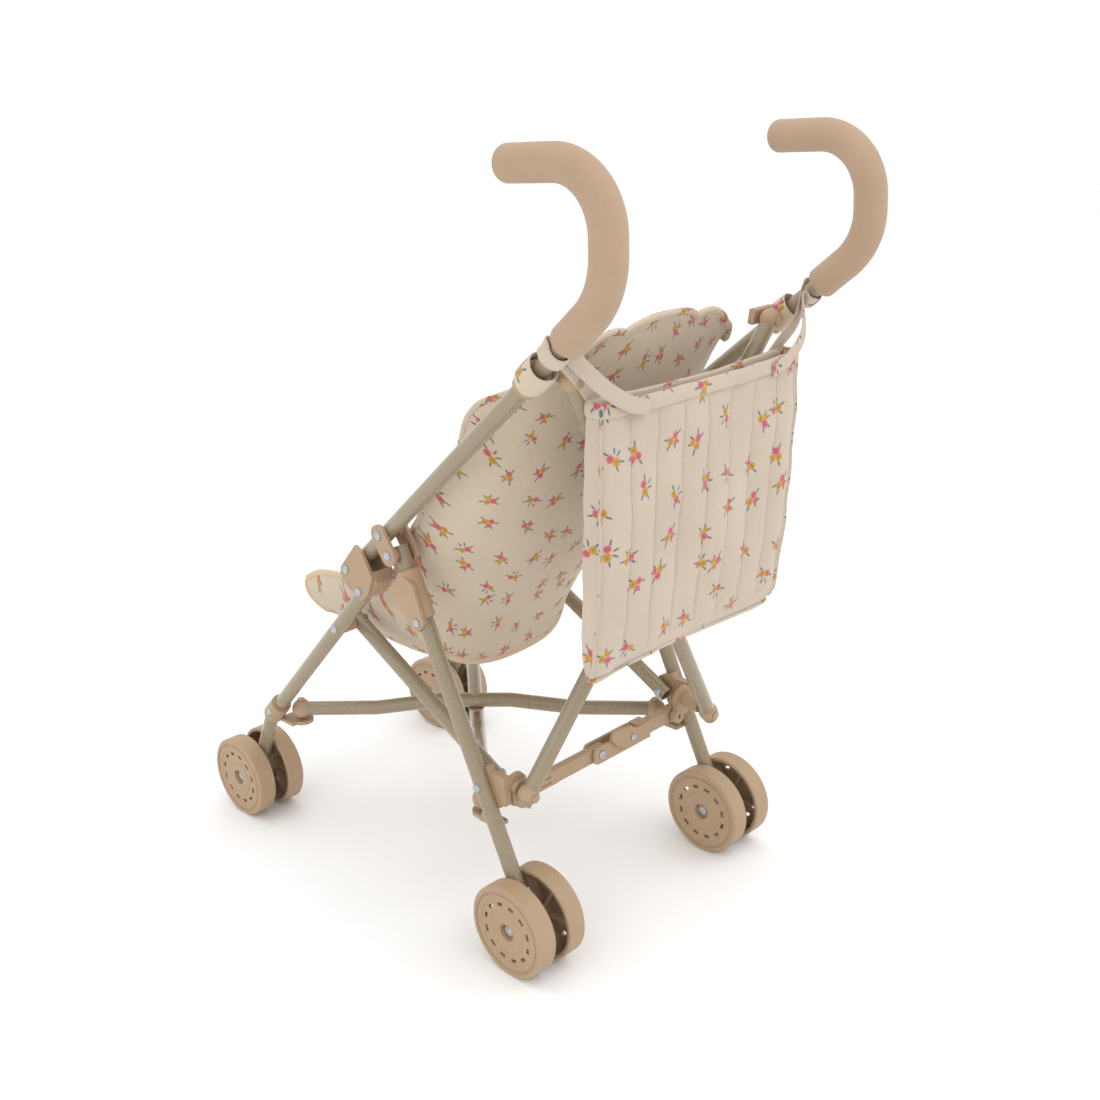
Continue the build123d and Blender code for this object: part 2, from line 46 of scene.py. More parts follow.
# ---------------------------------------------------------------- material graphs
class Graph:
    """Node tree of one procedural material, with short names for the nodes it needs."""

    def __init__(self, name):
        self.material = bpy.data.materials.new(name)
        self.material.use_nodes = True
        self.tree = self.material.node_tree
        self.shader = next(n for n in self.tree.nodes if n.type == "BSDF_PRINCIPLED")

    def link(self, a, b):
        self.tree.links.new(a, b)

    def put(self, socket, value):
        if isinstance(value, bpy.types.NodeSocket):
            self.link(value, socket)
        else:
            socket.default_value = value

    def math(self, op, *values):
        n = self.tree.nodes.new("ShaderNodeMath")
        n.operation = op
        for s, v in zip(n.inputs, values):
            self.put(s, v)
        return n.outputs[0]

    def vec(self, op, *values):
        n = self.tree.nodes.new("ShaderNodeVectorMath")
        n.operation = op
        for s, v in zip(n.inputs, values):
            self.put(s, v)
        return n.outputs["Value"] if op == "LENGTH" else n.outputs[0]

    def spin(self, vector, angle):
        n = self.tree.nodes.new("ShaderNodeVectorRotate")
        n.rotation_type = "Z_AXIS"
        self.put(n.inputs["Vector"], vector)
        self.put(n.inputs["Angle"], angle)
        return n.outputs[0]

    def ramp(self, value, low, high, a=0.0, b=1.0):
        n = self.tree.nodes.new("ShaderNodeMapRange")
        for s, v in zip(n.inputs, (value, low, high, a, b)):
            self.put(s, v)
        return n.outputs[0]

    def mix(self, factor, a, b):
        n = self.tree.nodes.new("ShaderNodeMix")
        n.data_type = "RGBA"
        self.put(n.inputs["Factor"], factor)
        self.put(n.inputs["A"], a)
        self.put(n.inputs["B"], b)
        return n.outputs["Result"]

    def noise(self, vector, scale, detail=2.0, rough=0.5):
        n = self.tree.nodes.new("ShaderNodeTexNoise")
        for k, v in (("Vector", vector), ("Scale", scale), ("Detail", detail), ("Roughness", rough)):
            self.put(n.inputs[k], v)
        return n.outputs["Fac"]

    def coords(self, which="Object"):
        return self.tree.nodes.new("ShaderNodeTexCoord").outputs[which]

    def bump(self, height, strength, distance, normal=None):
        n = self.tree.nodes.new("ShaderNodeBump")
        for k, v in (("Height", height), ("Strength", strength), ("Distance", distance)):
            self.put(n.inputs[k], v)
        if normal is not None:
            self.link(normal, n.inputs["Normal"])
        return n.outputs[0]

    def finish(self, color, roughness, normal=None, **fixed):
        self.put(self.shader.inputs["Base Color"], color)
        self.put(self.shader.inputs["Roughness"], roughness)
        if normal is not None:
            self.link(normal, self.shader.inputs["Normal"])
        for k, v in fixed.items():
            self.shader.inputs[k.replace("_", " ")].default_value = v
        return self.material


def rgb(r, g, b):
    """Linear colour from 0-255 screen values."""
    def lin(c):
        c /= 255
        return c / 12.92 if c <= 0.04045 else ((c + 0.055) / 1.055) ** 2.4
    return (lin(r), lin(g), lin(b), 1.0)


def painted_tube():
    g = Graph("taupe_paint_gloss")
    p = g.coords()
    broad = g.noise(p, 35.0, 3.0)
    fleck = g.noise(p, 900.0, 1.0)
    color = g.mix(g.ramp(broad, 0.3, 0.7), rgb(142, 127, 100), rgb(145, 130, 103))
    color = g.mix(g.ramp(fleck, 0.62, 0.75, 0.0, 0.07), color, rgb(184, 170, 143))
    scuff = g.noise(p, 140.0, 5.0, 0.7)
    rough = g.ramp(scuff, 0.35, 0.75, 0.25, 0.30)
    peel = g.bump(g.noise(p, 420.0, 1.5), 0.03, 0.0001)
    return g.finish(color, rough, peel, Coat_Weight=0.5, Coat_Roughness=0.16)


def moulded_plastic():
    g = Graph("tan_moulded_plastic")
    p = g.coords()
    flow = g.noise(p, 22.0, 4.0, 0.6)
    color = g.mix(g.ramp(flow, 0.3, 0.7), rgb(168, 142, 113), rgb(174, 148, 119))
    grain = g.noise(p, 1600.0, 2.0)
    color = g.mix(g.ramp(grain, 0.6, 0.8, 0.0, 0.12), color, rgb(163, 136, 108))
    rough = g.ramp(g.noise(p, 260.0, 4.0), 0.3, 0.7, 0.42, 0.58)
    skin = g.bump(grain, 0.22, 0.0002)
    skin = g.bump(g.noise(p, 90.0, 2.0), 0.05, 0.001, skin)
    return g.finish(color, rough, skin, Subsurface_Weight=0.05, Subsurface_Radius=(0.004, 0.002, 0.001),
                    Specular_IOR_Level=0.42)


def foam():
    g = Graph("foam_rubber")
    p = g.coords()
    cloud = g.noise(p, 30.0, 4.0)
    color = g.mix(g.ramp(cloud, 0.3, 0.7), rgb(170, 144, 119), rgb(177, 151, 126))
    cells = g.tree.nodes.new("ShaderNodeTexVoronoi")
    g.put(cells.inputs["Vector"], p)
    g.put(cells.inputs["Scale"], 1500.0)
    pore = g.ramp(cells.outputs["Distance"], 0.0, 0.5)
    # painted shade: the colour darkens to rgb(143, 117, 94) toward the bottom of each pore, standing in for shade
    # inside the pits
    color = g.mix(g.ramp(pore, 0.0, 0.5, 0.35, 0.0), color, rgb(143, 117, 94))
    skin = g.bump(pore, 0.35, 0.0003)
    skin = g.bump(g.noise(p, 260.0, 3.0), 0.12, 0.0008, skin)
    return g.finish(color, 0.93, skin, Specular_IOR_Level=0.22, Sheen_Weight=0.15, Sheen_Roughness=0.6)


def zinc():
    g = Graph("zinc_rivet")
    p = g.coords()
    spangle = g.noise(p, 700.0, 3.0)
    color = g.mix(g.ramp(spangle, 0.3, 0.7), rgb(150, 158, 166), rgb(196, 202, 207))
    rough = g.ramp(g.noise(p, 1200.0, 4.0), 0.3, 0.7, 0.26, 0.45)
    skin = g.bump(spangle, 0.2, 0.0002)
    return g.finish(color, rough, skin, Metallic=0.9)


def blob(g, q, centre, radii, soft=0.18):
    """Filled ellipse in local millimetres, 1 inside and 0 outside."""
    d = g.vec("SUBTRACT", q, (centre[0], centre[1], 0.0))
    d = g.vec("MULTIPLY", d, (1 / radii[0], 1 / radii[1], 0.0))
    return g.ramp(g.vec("LENGTH", d), 1.0 + soft, 1.0 - soft)


def posy(g, uv, cell, shift, base):
    """A scattered print of small posies: round buds on thin leaves, each turned its own way."""
    p = g.vec("MULTIPLY_ADD", uv, (1000.0 / cell, 1000.0 / cell, 0.0), (shift, shift * 0.37, 0.0))
    cells = g.tree.nodes.new("ShaderNodeTexVoronoi")
    cells.voronoi_dimensions = "2D"
    g.put(cells.inputs["Vector"], p)
    g.put(cells.inputs["Scale"], 1.0)
    g.put(cells.inputs["Randomness"], 0.62)
    pick = g.tree.nodes.new("ShaderNodeSeparateColor")
    g.link(cells.outputs["Color"], pick.inputs[0])
    q = g.vec("SUBTRACT", p, cells.outputs["Position"])
    q = g.vec("MULTIPLY", q, (cell, cell, 0.0))
    q = g.spin(q, g.math("MULTIPLY", pick.outputs[0], 6.283))
    wobble = g.noise(uv, 2400.0, 1.0)
    q = g.vec("ADD", q, g.vec("MULTIPLY", g.vec("SUBTRACT", wobble, (0.5, 0.5, 0.5)), (1.3, -1.3, 0.0)))
    gold = g.mix(g.ramp(g.noise(uv, 1500.0), 0.4, 0.6), rgb(178, 130, 24), rgb(198, 152, 46))
    pink = g.mix(g.ramp(g.noise(uv, 1700.0), 0.4, 0.6), rgb(178, 60, 76), rgb(214, 116, 124))
    leaf = g.mix(g.ramp(g.noise(uv, 1100.0), 0.35, 0.65), rgb(68, 94, 112), rgb(94, 122, 138))
    choose = g.math("GREATER_THAN", pick.outputs[1], 0.5)
    first, second = g.mix(choose, gold, pink), g.mix(choose, pink, gold)
    color = base
    for angle, reach, length in ((8, 6.6, 2.2), (66, 4.8, 2.3), (112, 5.0, 2.1), (172, 6.4, 2.3), (318, 6.0, 2.1)):
        turned = g.spin(q, math.radians(angle))
        color = g.mix(blob(g, turned, (reach, 0.25), (length, 0.62), 0.25), color, leaf)
    few = g.math("GREATER_THAN", pick.outputs[2], 0.36)
    color = g.mix(g.math("MULTIPLY", blob(g, q, (-0.2, -3.3), (2.2, 1.9)), few), color, second)
    color = g.mix(blob(g, q, (2.5, 0.7), (2.9, 2.5)), color, first)
    color = g.mix(blob(g, q, (-2.5, 0.6), (2.3, 2.4)), color, second)
    for x, y, turn in ((2.6, 0.7, 0.4), (-2.6, 0.5, -0.5)):
        stroke = blob(g, g.spin(g.vec("SUBTRACT", q, (x, y, 0)), turn), (0.2, 0.0), (1.7, 0.42), 0.3)
        color = g.mix(g.math("MULTIPLY", stroke, 0.7), color, rgb(98, 104, 112))
    return color


THREAD_PITCH = 0.00062      # metres from one woven thread to the next


def cloth(name, base=(205, 188, 165), printed=True, cell=27.0, shift=0.0, wrinkle=1.0):
    g = Graph(name)
    uv = g.coords("UV")
    darker, lighter = rgb(*[c - 4 for c in base]), rgb(*[min(255, c + 4) for c in base])
    tone = g.mix(g.ramp(g.noise(uv, 18.0, 3.0), 0.3, 0.7), darker, lighter)
    split = g.tree.nodes.new("ShaderNodeSeparateXYZ")
    g.link(uv, split.inputs[0])
    warp = g.math("SINE", g.math("MULTIPLY", split.outputs[0], 2 * math.pi / THREAD_PITCH))
    weft = g.math("SINE", g.math("MULTIPLY", split.outputs[1], 2 * math.pi / THREAD_PITCH))
    thread = g.math("MULTIPLY", warp, weft)
    tone = g.mix(g.ramp(thread, -1.0, 1.0, 0.0, 0.10), tone, rgb(*[int(c * 0.82) for c in base]))
    slub = g.noise(g.vec("MULTIPLY", uv, (1.0, 14.0, 1.0)), 260.0, 2.0)
    tone = g.mix(g.ramp(slub, 0.62, 0.78, 0.0, 0.14), tone, rgb(*[int(c * 0.86) for c in base]))
    color = posy(g, uv, cell, shift, tone) if printed else tone
    crease = g.noise(g.vec("MULTIPLY", uv, (1.0, 0.5, 1.0)), 55.0, 4.0, 0.55)
    pucker = g.noise(uv, 240.0, 2.0)
    normal = g.bump(crease, 0.30 * wrinkle, 0.004)
    normal = g.bump(pucker, 0.18 * wrinkle, 0.0012, normal)
    normal = g.bump(thread, 0.35, 0.00018, normal)
    return g.finish(color, g.ramp(slub, 0.3, 0.8, 0.82, 0.95), normal, Sheen_Weight=0.22, Sheen_Roughness=0.5,
                    Specular_IOR_Level=0.25)


def thread_material():
    g = Graph("sewing_thread")
    p = g.coords()
    ply = g.noise(p, 2600.0, 2.0)
    color = g.mix(g.ramp(ply, 0.3, 0.7), rgb(196, 176, 150), rgb(214, 197, 174))
    return g.finish(color, 0.8, g.bump(ply, 0.4, 0.0002), Sheen_Weight=0.1)


PAINT, PLASTIC, FOAM, ZINC = painted_tube(), moulded_plastic(), foam(), zinc()
FLORAL = cloth("floral_cotton")
# painted shade: the bag's floral cotton gets a darker base colour than the seat's same cloth, to offset the stronger
# key light falling on the bag
FLORAL_BAG_SHADED = cloth("floral_cotton_quilted_shaded", base=(198, 182, 164), cell=29.0, shift=3.3, wrinkle=0.8)
PLAIN = cloth("cream_cotton", base=(214, 197, 174), printed=False)
PEACH = cloth("peach_bias_tape", base=(211, 185, 156), printed=False, wrinkle=0.6)
THREAD = thread_material()

TUBES = ("handle_tube", "front_leg", "rear_leg", "side_brace", "back_brace", "floor_brace")

for name, obj in nodes.items():
    if name.startswith("grip"):
        m = FOAM
    elif "rivets" in name or "axle" in name:
        m = ZINC
    elif name.startswith(TUBES) and "fittings" not in name:
        m = PAINT
    else:
        m = PLASTIC
    obj.data.materials.clear()
    obj.data.materials.append(m)


# ---------------------------------------------------------------- mesh helpers
def grid_mesh(name, rows, uvs, material, wrap=False, thickness=0.0, offset=-1.0, caps=(), even=True):
    """Sheet through rows of points in millimetres; uvs are metres on the flat cloth.

    wrap closes each row into a ring, and caps closes the first (0) or last (1) ring.
    """
    count = len(rows[0])
    verts = [Vector(p) * MM for row in rows for p in row]
    faces, corner = [], []
    for i in range(len(rows) - 1):
        for j in range(count if wrap else count - 1):
            k = (j + 1) % count
            faces.append((i * count + j, i * count + k, (i + 1) * count + k, (i + 1) * count + j))
            corner.append([(i, j), (i, j + 1), (i + 1, j + 1), (i + 1, j)])
    for end in caps:
        row = end * (len(rows) - 1)
        ring = list(range(count)) if end else list(range(count))[::-1]
        faces.append(tuple(row * count + j for j in ring))
        corner.append([(row, j) for j in ring])
    mesh = bpy.data.meshes.new(name)
    mesh.from_pydata(verts, [], faces)
    layer = mesh.uv_layers.new(name="cloth")
    for poly, cs in zip(mesh.polygons, corner):
        for loop, (i, j) in zip(poly.loop_indices, cs):
            layer.data[loop].uv = uvs(i, j)
        poly.use_smooth = True
    obj = bpy.data.objects.new(name, mesh)
    bpy.context.scene.collection.objects.link(obj)
    mesh.materials.append(material)
    if thickness:
        s = obj.modifiers.new("thickness", "SOLIDIFY")
        s.thickness = thickness * MM
        s.offset = offset
        s.use_even_offset = even
    smooth = obj.modifiers.new("smooth", "SUBSURF")
    smooth.levels = smooth.render_levels = 1
    return obj


def spline(points, samples):
    """Catmull-Rom through points."""
    pts = [Vector(p) for p in points]
    pts = [pts[0] * 2 - pts[1]] + pts + [pts[-1] * 2 - pts[-2]]
    out = []
    spans = len(pts) - 3
    for s in range(samples + 1):
        t = s / samples * spans
        i = min(int(t), spans - 1)
        f = t - i
        a, b, c, d = pts[i:i + 4]
        out.append(0.5 * (2 * b + (c - a) * f + (2 * a - 5 * b + 4 * c - d) * f * f + (3 * b - a - 3 * c + d) * f ** 3))
    return out


def running_length(points):
    total, out = 0.0, [0.0]
    for a, b in zip(points, points[1:]):
        total += (b - a).length
        out.append(total)
    return out


def oval_sweep(name, path, across, half_w, half_t, material, closed=False, sides=12):
    """Flat rounded tape along a path; across gives its width direction at each point."""
    rows = []
    n = len(path)
    for i, p in enumerate(path):
        a = path[(i + 1) % n] if (closed or i < n - 1) else p
        b = path[(i - 1) % n] if (closed or i > 0) else p
        tangent = (a - b).normalized()
        w = across[i] - tangent * across[i].dot(tangent)
        w.normalize()
        t = tangent.cross(w)
        row = []
        for k in range(sides):
            ang = 2 * math.pi * k / sides
            c, s = math.cos(ang), math.sin(ang)
            wide = half_w * math.copysign(abs(c) ** 0.7, c)      # powers below 1 square the oval off
            thick = half_t * math.copysign(abs(s) ** 0.8, s)
            row.append(p + w * wide + t * thick)
        rows.append(row)
    if closed:
        rows.append(rows[0])
    lengths = running_length(list(path) + ([path[0]] if closed else []))
    around = 2 * (half_w + half_t)

    def uvs(i, j):
        return (lengths[i] * MM, j / sides * around * MM * 2)
    return grid_mesh(name, rows, uvs, material, wrap=True, caps=() if closed else (0, 1))


def soft(obj, node=None):
    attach(obj, "left_handle")
    if node:
        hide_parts(node)
    return obj


# straight part of the left handle tube, in millimetres: its low end, and the way from there to its high end
TUBE_LOW, TUBE_RUN = (105.5, -38.1, 258.2), (15.3, 233.3, 186.3)


def handle_at(z):
    """Point on the left handle tube's axis at a height."""
    t = (z - TUBE_LOW[2]) / TUBE_RUN[2]
    return Vector((TUBE_LOW[0] + t * TUBE_RUN[0], TUBE_LOW[1] + t * TUBE_RUN[1], z))


HANDLE_DIR = (handle_at(444.5) - handle_at(TUBE_LOW[2])).normalized()
RING_X = HANDLE_DIR.cross(Vector((1, 0, 0))).normalized()
RING_Y = HANDLE_DIR.cross(RING_X).normalized()


def round_handle(z, angle, radius):
    """Point on a ring round the left handle tube."""
    return handle_at(z) + (RING_X * math.sin(angle) + RING_Y * math.cos(angle)) * radius


def on_side(points, side):
    """Points of the left side, mirrored for the right side."""
    return points if side == "left" else [Vector((-p.x, p.y, p.z)) for p in points]


# ---------------------------------------------------------------- seat
SEAT = [    # middle (y, z), edge (y, z), half width
    ((163, 436), (151, 414), 84),
    ((149, 408), (131, 402), 91),
    ((128, 365), (105, 376), 96),
    ((90, 302), (56, 333), 96),
    ((52, 245), (12, 291), 91),
    ((24, 200), (-18, 257), 84),
    ((10, 170), (-34, 236), 81),
]
BASE = [
    ((10, 170), (-34, 236), 81),
    ((-30, 164), (-54, 232), 81),
    ((-75, 164), (-88, 231), 81),
    ((-120, 168), (-122, 226), 80),
    ((-160, 171), (-151, 214), 78),
]
ACROSS = 96
BACK_ROWS, BASE_ROWS = 84, 34
TOP_ROWS = 12           # rows that the scalloped top edge lifts
SIDE_COLUMNS = 9        # columns that the padded side edge lifts
FRONT_ROWS = 10         # rows that the front edge's notches draw in
BEHIND = Vector((0, 0.75, -0.65))       # away from the doll, behind and below the sling


def stations(table, rows):
    mids = spline([(0, m[0], m[1]) for m, e, h in table], rows)
    edges = spline([(h, e[0], e[1]) for m, e, h in table], rows)
    return list(zip(mids, edges))


def sling_row(mid, edge, bulge, boxy):
    """Section across the sling; boxy 0 is a soft arch and 1 a flat floor with steep sides."""
    power, root = 2.15 + 1.05 * boxy, 0.72 - 0.22 * boxy
    row = []
    for j in range(ACROSS + 1):
        u = 1 - 2 * j / ACROSS
        x = edge.x * math.sin(math.radians(90) * u) * 0.35 + edge.x * u * 0.65
        r = abs(x / edge.x)
        k = 1 - (1 - r ** power) ** root
        p = Vector((x, mid.y + (edge.y - mid.y) * k, mid.z + (edge.z - mid.z) * k))
        row.append(p + BEHIND * bulge * (1 - r ** 2))
    return row


def ripple(p, size, amount):
    return noise.noise(Vector(p) / size) * amount


def top_lift(x):
    """Scalloped top edge: a broad middle lobe, one lobe on each side and a small corner."""
    if x < 35:
        return 5.0 * (1 - (x / 35) ** 4)
    if x < 70:
        return 5.5 * abs(math.sin(math.pi * (x - 35) / 35)) ** 0.6
    return 2.5 * abs(math.sin(math.pi * (x - 70) / 16)) ** 0.6 - 9.0 * (max(0.0, x - 70) / 14) ** 1.5


def side_lift(y):
    """Height of the padded side edge: one long lobe beside the upper back, low at both ends."""
    lobe = 5.0 + 15.0 * math.exp(-((y - 101) / 17) ** 2) + 2.0 * abs(math.sin(math.pi * (y - 74) / 27))
    fade = min(1.0, max(0.0, (y + 10) / 80)) * min(1.0, max(0.25, (158 - y) / 22))
    return lobe * fade


def seat_back():
    rows = []
    for i, (mid, edge) in enumerate(stations(SEAT, BACK_ROWS)):
        v = i / BACK_ROWS
        row = sling_row(mid, edge, 4.0 * math.sin(math.pi * v), max(0.0, v - 0.2) / 0.8)
        rows.append([p + BEHIND * ripple(p, 46.0, 1.6) for p in row])
    up = Vector((0, 0.46, 0.89))
    for j in range(ACROSS + 1):
        x = rows[0][j].x
        lift = top_lift(abs(x))
        for i in range(TOP_ROWS):
            rows[i][j] = rows[i][j] + up * lift * (1 - i / TOP_ROWS) ** 1.5
    out = Vector((0.05, -0.62, 0.78))
    for i in range(BACK_ROWS + 1):
        lift = side_lift(rows[i][0].y)
        for j in range(SIDE_COLUMNS):
            f = (1 - j / SIDE_COLUMNS) ** 1.4
            rows[i][j] = rows[i][j] + out * lift * f
            rows[i][ACROSS - j] = rows[i][ACROSS - j] + out * lift * f
    return rows


def seat_base():
    rows = []
    for i, (mid, edge) in enumerate(stations(BASE, BASE_ROWS)):
        row = sling_row(mid, edge, 0.0, 1.0)
        rows.append([p + Vector((0, 0, 1)) * ripple(p, 38.0, 1.2) for p in row])
    for j in range(ACROSS + 1):
        s = j / ACROSS
        r = abs(1 - 2 * s)
        cut = 15.0 * math.exp(-((r - 0.80) / 0.17) ** 2)
        for i in range(BASE_ROWS - FRONT_ROWS, BASE_ROWS + 1):
            rows[i][j] = rows[i][j] + Vector((0, cut, 0)) * ((i - BASE_ROWS + FRONT_ROWS) / FRONT_ROWS) ** 1.5
    return rows


def cloth_uv(rows):
    wide = max(running_length(r)[-1] for r in rows) * MM
    down = running_length([r[len(r) // 2] for r in rows])

    def uvs(i, j):
        return (j / ACROSS * wide, down[i] * MM)
    return uvs, wide, down[-1] * MM


def edge_tape(name, line, facing, half_w, half_t, material):
    return soft(oval_sweep(name, line, facing, half_w, half_t, material, sides=10))


back_rows, base_rows = seat_back(), seat_base()
back_uv, back_w, back_l = cloth_uv(back_rows)
base_uv, base_w, base_l = cloth_uv(base_rows)
seat = soft(grid_mesh("seat_back_panel", back_rows, back_uv, FLORAL, thickness=2.4, offset=0.0), "seat_sling")
base = soft(grid_mesh("seat_base_panel", base_rows, base_uv, FLORAL, thickness=2.8, offset=0.0))


def outward(line, rows_next):
    return [(a - b).normalized() for a, b in zip(line, rows_next)]


top_line = back_rows[0]
seat_pieces = [
    edge_tape("seat_top_tape", top_line, outward(top_line, back_rows[1]), 2.6, 1.9, FLORAL),
    edge_tape("seat_hem_tape", back_rows[-1], outward(back_rows[-1], back_rows[-2]), 3.6, 2.1, PEACH),
    edge_tape("seat_front_tape", base_rows[-1], outward(base_rows[-1], base_rows[-2]), 3.0, 2.2, PEACH),
]
for side, j, k in (("left", 0, 1), ("right", ACROSS, ACROSS - 1)):
    line = [r[j] for r in back_rows]
    facing = outward(line, [r[k] for r in back_rows])
    seat_pieces.append(edge_tape(f"seat_side_tape_{side}", line, facing, 2.4, 1.8, FLORAL))
    line = [r[j] for r in base_rows]
    facing = outward(line, [r[k] for r in base_rows])
    seat_pieces.append(edge_tape(f"seat_base_tape_{side}", line, facing, 2.6, 1.9, PEACH))


STITCH_SIDES = 6


def stitches(name, line, normals, pitch=3.0, length=1.9, r=0.22):
    """Row of short raised stitches along a line."""
    lengths = running_length(line)
    verts, faces = [], []
    pos = pitch
    while pos + length < lengths[-1]:
        ends = []
        for at in (pos, pos + length):
            i = max(k for k in range(len(lengths) - 1) if lengths[k] <= at)
            f = (at - lengths[i]) / max(1e-6, lengths[i + 1] - lengths[i])
            ends.append((line[i].lerp(line[i + 1], f), normals[i].lerp(normals[i + 1], f).normalized()))
        (a, na), (b, nb) = ends
        t = (b - a).normalized()
        side = t.cross(na).normalized()
        base_i = len(verts)
        for p, nn, rise, w in ((a, na, 0.0, 0.6), (a.lerp(b, 0.5), na, 1.0, 1.0), (b, nb, 0.0, 0.6)):
            for k in range(STITCH_SIDES):
                ang = 2 * math.pi * k / STITCH_SIDES
                verts.append((p + nn * (rise * r * 0.9 + r * w * math.sin(ang)) + side * r * w * math.cos(ang)) * MM)
        for low in (base_i, base_i + STITCH_SIDES):
            high = low + STITCH_SIDES
            for k in range(STITCH_SIDES):
                m = (k + 1) % STITCH_SIDES
                faces.append((low + k, low + m, high + m, high + k))
        faces.append(tuple(base_i + k for k in reversed(range(STITCH_SIDES))))
        faces.append(tuple(base_i + 2 * STITCH_SIDES + k for k in range(STITCH_SIDES)))
        pos += pitch
    mesh = bpy.data.meshes.new(name)
    mesh.from_pydata(verts, [], faces)
    for p in mesh.polygons:
        p.use_smooth = True
    mesh.materials.append(THREAD)
    obj = bpy.data.objects.new(name, mesh)
    bpy.context.scene.collection.objects.link(obj)
    return soft(obj)


def row_normals(rows, i):
    out = []
    n = len(rows[i])
    for j in range(n):
        a = rows[i][min(j + 1, n - 1)] - rows[i][max(j - 1, 0)]
        b = rows[min(i + 1, len(rows) - 1)][j] - rows[max(i - 1, 0)][j]
        out.append(a.cross(b).normalized())
    return out


for label, rows, i in (("seat_hem_stitches", back_rows, BACK_ROWS - 3), ("seat_top_stitches", back_rows, 2)):
    ns = row_normals(rows, i)
    flip = -1 if ns[len(ns) // 2].y < 0 else 1
    line = [p + q * 1.35 * flip for p, q in zip(rows[i], ns)]
    seat_pieces.append(stitches(label, line, [q * flip for q in ns]))


# ---------------------------------------------------------------- bag
LEVELS = 64
CHANNELS = 8
REAR_POINTS, FRONT_POINTS = 128, 64
SIDE_STEPS = 13
CLOTH_HEIGHT = 0.168        # metres of cloth from the mouth to the bottom seam


def bag_outline(v):
    """Half width, front y, rear y and height at a level, 0 at the mouth and 1 at the bottom."""
    half = 95 - 2 * v
    rear = 198 - 16 * v + 3.0 * math.sin(math.pi * v)
    front = 184.8 - 14.0 * v - 1.5 * math.sin(math.pi * v)
    pinch = max(0.0, (v - 0.90) / 0.10) ** 2
    middle = (front + rear) / 2
    rear = rear + (middle + 1.6 - rear) * pinch
    front = front + (middle - 1.6 - front) * pinch
    return half, front, rear, 405 - 178 * v


def channel_wave(j, points):
    """Height of the stuffed channels at a point of a wall, 0 on a seam and 1 between seams."""
    return abs(math.sin(math.pi * CHANNELS * j / (points - 1))) ** 0.55


def bag_side(v, half, start, end, z, sign):
    """Side wall from one y to the other, drawn in a little."""
    points = []
    for j in range(1, SIDE_STEPS):
        f = j / SIDE_STEPS
        bulge = -1.8 * math.sin(math.pi * f) * (1 if v > 0.1 else v * 10)
        points.append(Vector((sign * (half + bulge * 0.4), start + (end - start) * f, z)))
    return points


def bag_row(v):
    """Ring round the bag at a level: rear wall, right side, front wall, left side."""
    half, front, rear, z = bag_outline(v)
    puff = 3.0 * (0.35 + 0.65 * math.sin(math.pi * min(1, v * 1.02)) ** 0.5) * (1 - max(0, (v - 0.9) / 0.1))
    row = []
    for j in range(REAR_POINTS):
        u = 1 - 2 * j / (REAR_POINTS - 1)
        corner = 1 - abs(u) ** 18
        y = rear - 2.0 * (1 - corner) + puff * channel_wave(j, REAR_POINTS) * corner
        y += 1.1 * math.sin(7 * u + 5 * v) * math.sin(math.pi * v) * corner
        sag = -2.2 * (1 - u * u) * (1 - v) + 1.4 * math.sin(3.1 * u + 1.0) * v
        row.append(Vector((half * u, y, z + sag)))
    row += bag_side(v, half, rear, front, z, -1)
    for j in range(FRONT_POINTS):
        u = -1 + 2 * j / (FRONT_POINTS - 1)
        corner = 1 - abs(u) ** 18
        sag = -3.0 * (1 - u * u) * (1 - v)
        row.append(Vector((half * u, front - 0.7 * puff * channel_wave(j, FRONT_POINTS) * corner, z + sag)))
    return row + bag_side(v, half, front, rear, z, 1)


bag_rows = [bag_row(i / LEVELS) for i in range(LEVELS + 1)]
for i, row in enumerate(bag_rows):
    for j, p in enumerate(row):
        row[j] = p + Vector((0, 1, 0)) * (noise.noise(p / 30.0) * 1.7 + noise.noise(p / 11.0) * 0.6)
girth = running_length(bag_rows[0] + [bag_rows[0][0]])
bag = grid_mesh("quilted_bag", bag_rows, lambda i, j: (girth[j] * MM, i / LEVELS * CLOTH_HEIGHT), FLORAL_BAG_SHADED,
                wrap=True, thickness=2.0, offset=1.0, caps=(1,), even=False)
soft(bag, "bag")

mouth = bag_rows[0]
band_line = [p + Vector((0, 0, -3.2)) for p in mouth]
band = soft(oval_sweep("bag_mouth_binding", band_line, [Vector((0, 0, 1))] * len(band_line), 5.2, 2.3, FLORAL_BAG_SHADED,
                       closed=True, sides=12))
bag_extras = [band]
for side, j, sign in (("left", 0, 1), ("right", REAR_POINTS - 1, -1)):
    line = [bag_rows[i][j] + Vector((0.6 * sign, 0.8, 0)) for i in range(2, LEVELS - 1)]
    bag_extras.append(soft(oval_sweep(f"bag_corner_seam_{side}", line, [Vector((sign, 1, 0))] * len(line), 1.4, 0.9,
                                      FLORAL_BAG_SHADED)))
foot_line = [bag_rows[-1][j] + Vector((0, -1.0, -0.8)) for j in range(0, REAR_POINTS, 2)]
bag_extras.append(soft(oval_sweep("bag_bottom_seam", foot_line, [Vector((0, 0, 1))] * len(foot_line), 1.8, 1.5,
                                  FLORAL_BAG_SHADED)))
for c in range(1, CHANNELS):
    j = round(c / CHANNELS * (REAR_POINTS - 1))
    line = [bag_rows[i][j] + Vector((0, 0.5, 0)) for i in range(3, LEVELS - 3)]
    bag_extras.append(stitches(f"bag_channel_{c}", line, [Vector((0, 1, 0))] * len(line), pitch=3.2, length=2.1, r=0.2))
line = [p + Vector((0, 1.0, -8.4)) for p in mouth[2:REAR_POINTS - 2]]
bag_extras.append(stitches("bag_binding_stitches", line, [Vector((0, 1, 0))] * len(line)))


STRAP_HEIGHT, STRAP_RADIUS, STRAP_SAMPLES = 438.0, 7.6, 90


